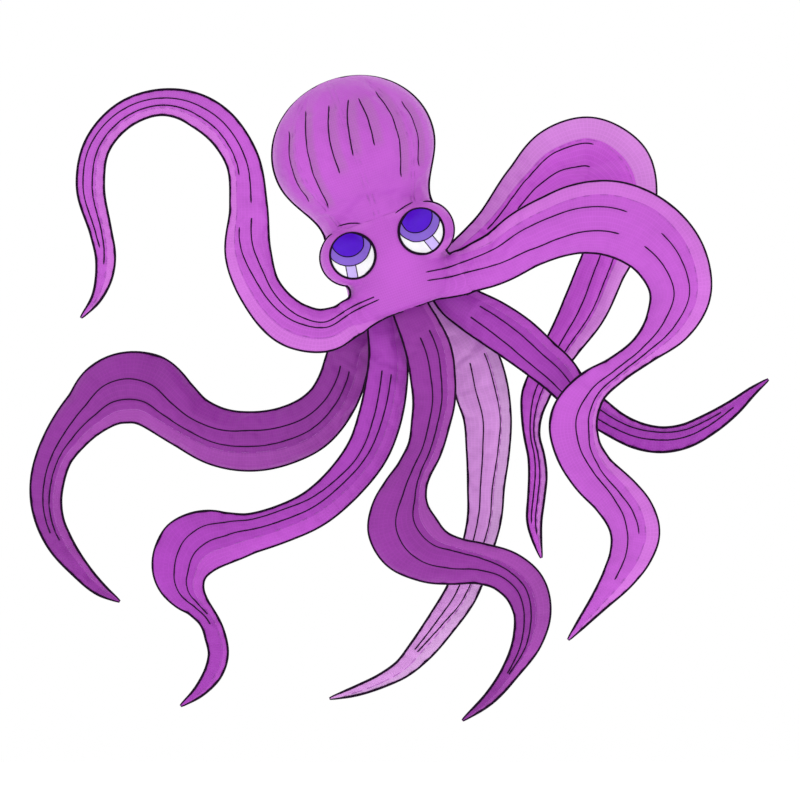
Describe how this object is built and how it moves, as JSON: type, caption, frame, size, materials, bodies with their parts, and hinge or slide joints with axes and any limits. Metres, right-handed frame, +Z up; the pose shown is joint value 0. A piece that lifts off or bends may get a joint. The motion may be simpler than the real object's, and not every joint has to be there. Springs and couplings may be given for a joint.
{
  "type": "octopus kite",
  "caption": "Soft inflatable octopus kite with a leaning gored head, padded eyes and long curling air-filled arms on sewn hinges.",
  "frame": {"origin": "centre of the tow eyelet on the back of the face", "axes": "+Z up, the face looks along -Y, +X to the right of someone looking at the face"},
  "size_m": [1.8482, 0.4645, 1.61],
  "materials": {
    "purple_ripstop": "coated ripstop",
    "lilac_ripstop": "coated ripstop",
    "baffle_ripstop": "plain ripstop",
    "dark_ripstop": "coated ripstop",
    "rear_purple_ripstop": "coated ripstop",
    "plum_ripstop": "coated ripstop",
    "pale_ripstop": "coated ripstop",
    "dark_webbing": "woven tape",
    "white_cloth": "smooth cloth",
    "iris_cloth": "smooth cloth",
    "pupil_cloth": "smooth cloth",
    "glint_cloth": "smooth cloth",
    "glass_fibre": "pultruded rod",
    "nickel": "nickel plated",
    "mesh": "open mesh",
    "zip_nylon": "moulded",
    "brass": "polished"
  },
  "bodies": {
    "head": {"mantle_gore_1": "purple_ripstop", "mantle_gore_2": "purple_ripstop", "mantle_gore_3": "purple_ripstop", "mantle_gore_4": "purple_ripstop", "mantle_gore_5": "purple_ripstop", "mantle_gore_6": "purple_ripstop", "mantle_gore_7": "purple_ripstop", "mantle_gore_8": "purple_ripstop", "crown_patch": "lilac_ripstop", "mantle_baffle": "baffle_ripstop", "neck_baffle": "baffle_ripstop", "neck_band": "dark_webbing", "face_front": "purple_ripstop", "face_back": "purple_ripstop", "left_eye_mound": "purple_ripstop", "right_eye_mound": "purple_ripstop", "left_eye_white": "white_cloth", "right_eye_white": "white_cloth", "left_iris": "iris_cloth", "right_iris": "iris_cloth", "left_pupil": "pupil_cloth", "right_pupil": "pupil_cloth", "left_eye_glint": "glint_cloth", "right_eye_glint": "glint_cloth", "left_eye_binding": "dark_webbing", "right_eye_binding": "dark_webbing", "base_panel": "dark_ripstop", "intake_hoop": "glass_fibre", "hoop_ferrule": "nickel", "hoop_sleeve": "dark_webbing", "intake_mesh": "mesh", "zip_tape": "dark_webbing", "zip_teeth": "zip_nylon", "tow_tab": "dark_webbing", "tow_eyelet": "brass", "crown_tab": "dark_webbing", "crown_eyelet": "brass"},
    "front_left_arm_upper": {"front_left_arm_upper": "purple_ripstop"},
    "front_left_arm_lower": {"front_left_arm_lower": "purple_ripstop"},
    "front_right_arm_upper": {"front_right_arm_upper": "purple_ripstop"},
    "front_right_arm_lower": {"front_right_arm_lower": "purple_ripstop"},
    "rear_left_arm_upper": {"rear_left_arm_upper": "dark_ripstop"},
    "rear_left_arm_lower": {"rear_left_arm_lower": "dark_ripstop"},
    "rear_right_arm_upper": {"rear_right_arm_upper": "rear_purple_ripstop"},
    "rear_right_arm_lower": {"rear_right_arm_lower": "rear_purple_ripstop"},
    "side_left_arm_upper": {"side_left_arm_upper": "plum_ripstop"},
    "side_left_arm_lower": {"side_left_arm_lower": "plum_ripstop"},
    "side_right_arm_upper": {"side_right_arm_upper": "plum_ripstop"},
    "side_right_arm_lower": {"side_right_arm_lower": "plum_ripstop"},
    "centre_arm_upper": {"centre_arm_upper": "dark_ripstop"},
    "centre_arm_lower": {"centre_arm_lower": "dark_ripstop"},
    "tail_arm_upper": {"tail_arm_upper": "pale_ripstop"},
    "tail_arm_lower": {"tail_arm_lower": "pale_ripstop"},
    "valve_flap": {"valve_flap": "baffle_ripstop"},
    "zip_slider": {"zip_slider": "nickel"}
  },
  "joints": [
    {"name": "front_left_arm_swing", "type": "hinge", "parent": "head", "child": "front_left_arm_upper", "pos_m": [-0.11919, -0.23704, -0.08516], "axis": [-0.5583, 0, 0.8296], "range_deg": [-15, 30], "stiffness_Nm_per_rad": 4},
    {"name": "front_left_arm_bend", "type": "hinge", "parent": "front_left_arm_upper", "child": "front_left_arm_lower", "pos_m": [-0.54219, -0.32283, 0.43684], "axis": [0.2585, 0, 0.966], "range_deg": [-35, 40], "stiffness_Nm_per_rad": 1.6},
    {"name": "front_right_arm_swing", "type": "hinge", "parent": "head", "child": "front_right_arm_upper", "pos_m": [0.14632, -0.23704, 0.01521], "axis": [0.3529, 0, -0.9357], "range_deg": [-12, 25], "stiffness_Nm_per_rad": 4},
    {"name": "front_right_arm_bend", "type": "hinge", "parent": "front_right_arm_upper", "child": "front_right_arm_lower", "pos_m": [0.60732, -0.34713, -0.17479], "axis": [-0.652, 0, 0.7582], "range_deg": [-18, 35], "stiffness_Nm_per_rad": 1.6},
    {"name": "rear_right_arm_swing", "type": "hinge", "parent": "head", "child": "rear_right_arm_upper", "pos_m": [0.14171, -0.12204, 0.05074], "axis": [0.7074, 0, -0.7068], "range_deg": [-20, 10], "stiffness_Nm_per_rad": 4},
    {"name": "rear_right_arm_bend", "type": "hinge", "parent": "rear_right_arm_upper", "child": "rear_right_arm_lower", "pos_m": [0.40771, -0.01041, -0.16226], "axis": [-0.8524, 0, 0.523], "range_deg": [-35, 20], "stiffness_Nm_per_rad": 1.6},
    {"name": "side_right_arm_swing", "type": "hinge", "parent": "head", "child": "side_right_arm_upper", "pos_m": [0.15416, -0.18204, -0.0627], "axis": [-0.4929, 0, -0.8701], "range_deg": [-14, 10], "stiffness_Nm_per_rad": 4},
    {"name": "side_right_arm_bend", "type": "hinge", "parent": "side_right_arm_upper", "child": "side_right_arm_lower", "pos_m": [0.39516, -0.18204, -0.2347], "axis": [-0.7164, 0, -0.6977], "range_deg": [-30, 25], "stiffness_Nm_per_rad": 1.6},
    {"name": "tail_arm_swing", "type": "hinge", "parent": "head", "child": "tail_arm_upper", "pos_m": [0.11826, -0.12004, -0.08406], "axis": [-0.8351, 0, -0.5501], "range_deg": [-25, 10], "stiffness_Nm_per_rad": 4},
    {"name": "tail_arm_bend", "type": "hinge", "parent": "tail_arm_upper", "child": "tail_arm_lower", "pos_m": [0.21226, -0.03203, -0.60006], "axis": [-0.9846, 0, 0.1751], "range_deg": [-35, 25], "stiffness_Nm_per_rad": 1.6},
    {"name": "centre_arm_swing", "type": "hinge", "parent": "head", "child": "centre_arm_upper", "pos_m": [0.03492, -0.23704, -0.09159], "axis": [-0.8995, 0, -0.437], "range_deg": [-10, 25], "stiffness_Nm_per_rad": 4},
    {"name": "centre_arm_bend", "type": "hinge", "parent": "centre_arm_upper", "child": "centre_arm_lower", "pos_m": [0.03092, -0.27236, -0.47859], "axis": [-0.9119, 0, 0.4105], "range_deg": [-25, 35], "stiffness_Nm_per_rad": 1.6},
    {"name": "rear_left_arm_swing", "type": "hinge", "parent": "head", "child": "rear_left_arm_upper", "pos_m": [-0.09024, -0.12204, -0.12472], "axis": [-0.8002, 0, 0.5997], "range_deg": [-25, 15], "stiffness_Nm_per_rad": 4},
    {"name": "rear_left_arm_bend", "type": "hinge", "parent": "rear_left_arm_upper", "child": "rear_left_arm_lower", "pos_m": [-0.45124, -0.04766, -0.39072], "axis": [0.3049, 0, 0.9524], "range_deg": [-35, 30], "stiffness_Nm_per_rad": 1.6},
    {"name": "side_left_arm_swing", "type": "hinge", "parent": "head", "child": "side_left_arm_upper", "pos_m": [-0.0396, -0.18204, -0.1119], "axis": [-0.9935, 0, -0.1142], "range_deg": [-14, 14], "stiffness_Nm_per_rad": 4},
    {"name": "side_left_arm_bend", "type": "hinge", "parent": "side_left_arm_upper", "child": "side_left_arm_lower", "pos_m": [-0.3016, -0.18703, -0.6089], "axis": [-0.3606, 0, 0.9327], "range_deg": [-30, 30], "stiffness_Nm_per_rad": 1.6},
    {"name": "valve_flap_hinge", "type": "hinge", "parent": "head", "child": "valve_flap", "pos_m": [0.01997, -0.13704, -0.0706], "axis": [-0.9415, 0, -0.3371], "range_deg": [0, 65]},
    {"name": "zip_slide", "type": "slide", "parent": "head", "child": "zip_slider", "axis": [0.603, -0.3216, -0.7301], "range_m": [0, 0.05]}
  ]
}
